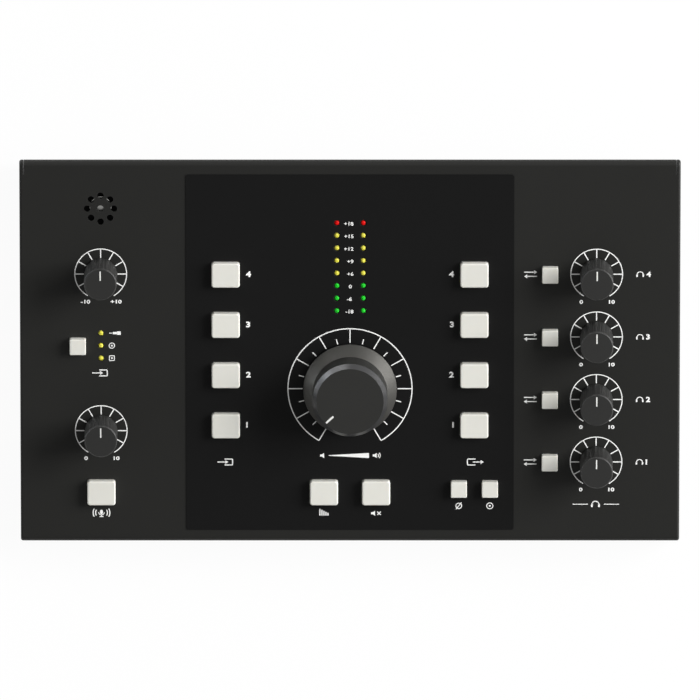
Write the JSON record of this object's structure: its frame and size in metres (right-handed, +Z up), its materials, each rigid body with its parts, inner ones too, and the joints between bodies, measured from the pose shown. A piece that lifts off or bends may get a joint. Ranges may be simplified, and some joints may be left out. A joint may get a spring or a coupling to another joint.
{
  "type": "studio monitor controller",
  "caption": "Desktop studio monitor controller: sloped steel case with a large skirted volume knob, small level knobs, square push buttons, lamp meter, talkback microphone and rear sockets.",
  "frame": {"origin": "on the table, under the middle of the case", "axes": "+X to the right of the person using it, +Y to the rear sockets, +Z up"},
  "size_m": [0.278, 0.1606, 0.0708],
  "materials": {
    "case_paint": "fine matt powder coat, near black",
    "overlay_film": "matt black film",
    "tray_paint": "fine matt powder coat",
    "rear_panel_paint": "fine matt powder coat",
    "zinc_steel": "bright zinc plate",
    "screw_steel": "black zinc plate",
    "foot_rubber": "matt rubber",
    "circuit_board": "green solder mask",
    "component_plastic": "moulded",
    "ribbon_plastic": "grey flat cable",
    "pot_metal": "die cast",
    "nut_nickel": "nickel plate",
    "switch_plastic": "moulded",
    "red_lens": "tinted lens",
    "yellow_lens": "tinted lens",
    "green_lens": "tinted lens",
    "mic_metal": "bright can",
    "boot_rubber": "matt rubber",
    "socket_plastic": "moulded, black",
    "coax_nickel": "nickel plate",
    "rocker_plastic": "moulded, black",
    "main_knob_finish": "satin dark anodised",
    "knob_plastic": "satin moulded",
    "shaft_metal": "turned",
    "button_plastic": "frosted translucent white"
  },
  "bodies": {
    "case": {"top_shell": "case_paint", "centre_overlay": "overlay_film", "base_tray": "tray_paint", "rear_panel": "rear_panel_paint", "case_brackets": "zinc_steel", "machine_screws": "screw_steel", "rubber_feet": "foot_rubber", "control_board": "circuit_board", "main_board": "circuit_board", "jack_board": "circuit_board", "board_standoffs": "zinc_steel", "board_components": "component_plastic", "ribbon_cable": "ribbon_plastic", "pot_bodies": "pot_metal", "pot_nuts": "nut_nickel", "switch_housings": "switch_plastic", "red_leds": "red_lens", "yellow_leds": "yellow_lens", "green_leds": "green_lens", "mic_capsule": "mic_metal", "mic_boot": "boot_rubber", "jack_bodies": "socket_plastic", "jack_nuts": "nut_nickel", "coax_socket": "coax_nickel", "optical_socket": "socket_plastic", "dc_inlet": "socket_plastic", "power_switch_housing": "rocker_plastic"},
    "main_volume": {"main_volume_knob": "main_knob_finish", "main_volume_shaft": "shaft_metal"},
    "power_rocker": {"power_rocker": "rocker_plastic"},
    "trim": {"trim_knob": "knob_plastic", "trim_shaft": "shaft_metal"},
    "talkback_level": {"talkback_level_knob": "knob_plastic", "talkback_level_shaft": "shaft_metal"},
    "headphone_1": {"headphone_1_knob": "knob_plastic", "headphone_1_shaft": "shaft_metal"},
    "headphone_2": {"headphone_2_knob": "knob_plastic", "headphone_2_shaft": "shaft_metal"},
    "headphone_3": {"headphone_3_knob": "knob_plastic", "headphone_3_shaft": "shaft_metal"},
    "headphone_4": {"headphone_4_knob": "knob_plastic", "headphone_4_shaft": "shaft_metal"},
    "dim_button": {"dim_button": "button_plastic"},
    "cut_button": {"cut_button": "button_plastic"},
    "talkback_button": {"talkback_button": "button_plastic"},
    "input_button_1": {"input_button_1": "button_plastic"},
    "output_button_1": {"output_button_1": "button_plastic"},
    "input_button_2": {"input_button_2": "button_plastic"},
    "output_button_2": {"output_button_2": "button_plastic"},
    "input_button_3": {"input_button_3": "button_plastic"},
    "output_button_3": {"output_button_3": "button_plastic"},
    "input_button_4": {"input_button_4": "button_plastic"},
    "output_button_4": {"output_button_4": "button_plastic"},
    "input_select_button": {"input_select_button": "button_plastic"},
    "polarity_button": {"polarity_button": "button_plastic"},
    "mono_button": {"mono_button": "button_plastic"},
    "headphone_source_button_1": {"headphone_source_button_1": "button_plastic"},
    "headphone_source_button_2": {"headphone_source_button_2": "button_plastic"},
    "headphone_source_button_3": {"headphone_source_button_3": "button_plastic"},
    "headphone_source_button_4": {"headphone_source_button_4": "button_plastic"}
  },
  "joints": [
    {"name": "main_volume_turn", "type": "hinge", "parent": "case", "child": "main_volume", "pos_m": [0, -0.01602, 0.03921], "axis": [0, -0.2588, 0.9659], "range_deg": [-283, 17]},
    {"name": "trim_turn", "type": "hinge", "parent": "case", "child": "trim", "pos_m": [-0.1049, 0.03218, 0.05213], "axis": [0, -0.2588, 0.9659], "range_deg": [-150, 150]},
    {"name": "talkback_level_turn", "type": "hinge", "parent": "case", "child": "talkback_level", "pos_m": [-0.1049, -0.03379, 0.03445], "axis": [0, -0.2588, 0.9659], "range_deg": [-150, 150]},
    {"name": "headphone_1_turn", "type": "hinge", "parent": "case", "child": "headphone_1", "pos_m": [0.1038, -0.04702, 0.0309], "axis": [0, -0.2588, 0.9659], "range_deg": [-150, 150]},
    {"name": "headphone_2_turn", "type": "hinge", "parent": "case", "child": "headphone_2", "pos_m": [0.1038, -0.02065, 0.03797], "axis": [0, -0.2588, 0.9659], "range_deg": [-150, 150]},
    {"name": "headphone_3_turn", "type": "hinge", "parent": "case", "child": "headphone_3", "pos_m": [0.1038, 0.00572, 0.04503], "axis": [0, -0.2588, 0.9659], "range_deg": [-150, 150]},
    {"name": "headphone_4_turn", "type": "hinge", "parent": "case", "child": "headphone_4", "pos_m": [0.1038, 0.03209, 0.0521], "axis": [0, -0.2588, 0.9659], "range_deg": [-150, 150]},
    {"name": "dim_press", "type": "slide", "parent": "case", "child": "dim_button", "axis": [0, 0.2588, -0.9659], "range_m": [0, 0.001], "stiffness_N_per_m": 400, "springref_m": -0.002},
    {"name": "cut_press", "type": "slide", "parent": "case", "child": "cut_button", "axis": [0, 0.2588, -0.9659], "range_m": [0, 0.001], "stiffness_N_per_m": 400, "springref_m": -0.002},
    {"name": "talkback_press", "type": "slide", "parent": "case", "child": "talkback_button", "axis": [0, 0.2588, -0.9659], "range_m": [0, 0.001], "stiffness_N_per_m": 400, "springref_m": -0.002},
    {"name": "input_1_press", "type": "slide", "parent": "case", "child": "input_button_1", "axis": [0, 0.2588, -0.9659], "range_m": [0, 0.001], "stiffness_N_per_m": 400, "springref_m": -0.002},
    {"name": "output_1_press", "type": "slide", "parent": "case", "child": "output_button_1", "axis": [0, 0.2588, -0.9659], "range_m": [0, 0.001], "stiffness_N_per_m": 400, "springref_m": -0.002},
    {"name": "input_2_press", "type": "slide", "parent": "case", "child": "input_button_2", "axis": [0, 0.2588, -0.9659], "range_m": [0, 0.001], "stiffness_N_per_m": 400, "springref_m": -0.002},
    {"name": "output_2_press", "type": "slide", "parent": "case", "child": "output_button_2", "axis": [0, 0.2588, -0.9659], "range_m": [0, 0.001], "stiffness_N_per_m": 400, "springref_m": -0.002},
    {"name": "input_3_press", "type": "slide", "parent": "case", "child": "input_button_3", "axis": [0, 0.2588, -0.9659], "range_m": [0, 0.001], "stiffness_N_per_m": 400, "springref_m": -0.002},
    {"name": "output_3_press", "type": "slide", "parent": "case", "child": "output_button_3", "axis": [0, 0.2588, -0.9659], "range_m": [0, 0.001], "stiffness_N_per_m": 400, "springref_m": -0.002},
    {"name": "input_4_press", "type": "slide", "parent": "case", "child": "input_button_4", "axis": [0, 0.2588, -0.9659], "range_m": [0, 0.001], "stiffness_N_per_m": 400, "springref_m": -0.002},
    {"name": "output_4_press", "type": "slide", "parent": "case", "child": "output_button_4", "axis": [0, 0.2588, -0.9659], "range_m": [0, 0.001], "stiffness_N_per_m": 400, "springref_m": -0.002},
    {"name": "input_select_press", "type": "slide", "parent": "case", "child": "input_select_button", "axis": [0, 0.2588, -0.9659], "range_m": [0, 0.001], "stiffness_N_per_m": 400, "springref_m": -0.002},
    {"name": "polarity_press", "type": "slide", "parent": "case", "child": "polarity_button", "axis": [0, 0.2588, -0.9659], "range_m": [0, 0.001], "stiffness_N_per_m": 400, "springref_m": -0.002},
    {"name": "mono_press", "type": "slide", "parent": "case", "child": "mono_button", "axis": [0, 0.2588, -0.9659], "range_m": [0, 0.001], "stiffness_N_per_m": 400, "springref_m": -0.002},
    {"name": "headphone_source_1_press", "type": "slide", "parent": "case", "child": "headphone_source_button_1", "axis": [0, 0.2588, -0.9659], "range_m": [0, 0.001], "stiffness_N_per_m": 400, "springref_m": -0.002},
    {"name": "headphone_source_2_press", "type": "slide", "parent": "case", "child": "headphone_source_button_2", "axis": [0, 0.2588, -0.9659], "range_m": [0, 0.001], "stiffness_N_per_m": 400, "springref_m": -0.002},
    {"name": "headphone_source_3_press", "type": "slide", "parent": "case", "child": "headphone_source_button_3", "axis": [0, 0.2588, -0.9659], "range_m": [0, 0.001], "stiffness_N_per_m": 400, "springref_m": -0.002},
    {"name": "headphone_source_4_press", "type": "slide", "parent": "case", "child": "headphone_source_button_4", "axis": [0, 0.2588, -0.9659], "range_m": [0, 0.001], "stiffness_N_per_m": 400, "springref_m": -0.002},
    {"name": "power_rocker_tilt", "type": "hinge", "parent": "case", "child": "power_rocker", "pos_m": [0.105, 0.07075, 0.03], "axis": [1, 0, 0], "range_deg": [0, 20]}
  ]
}
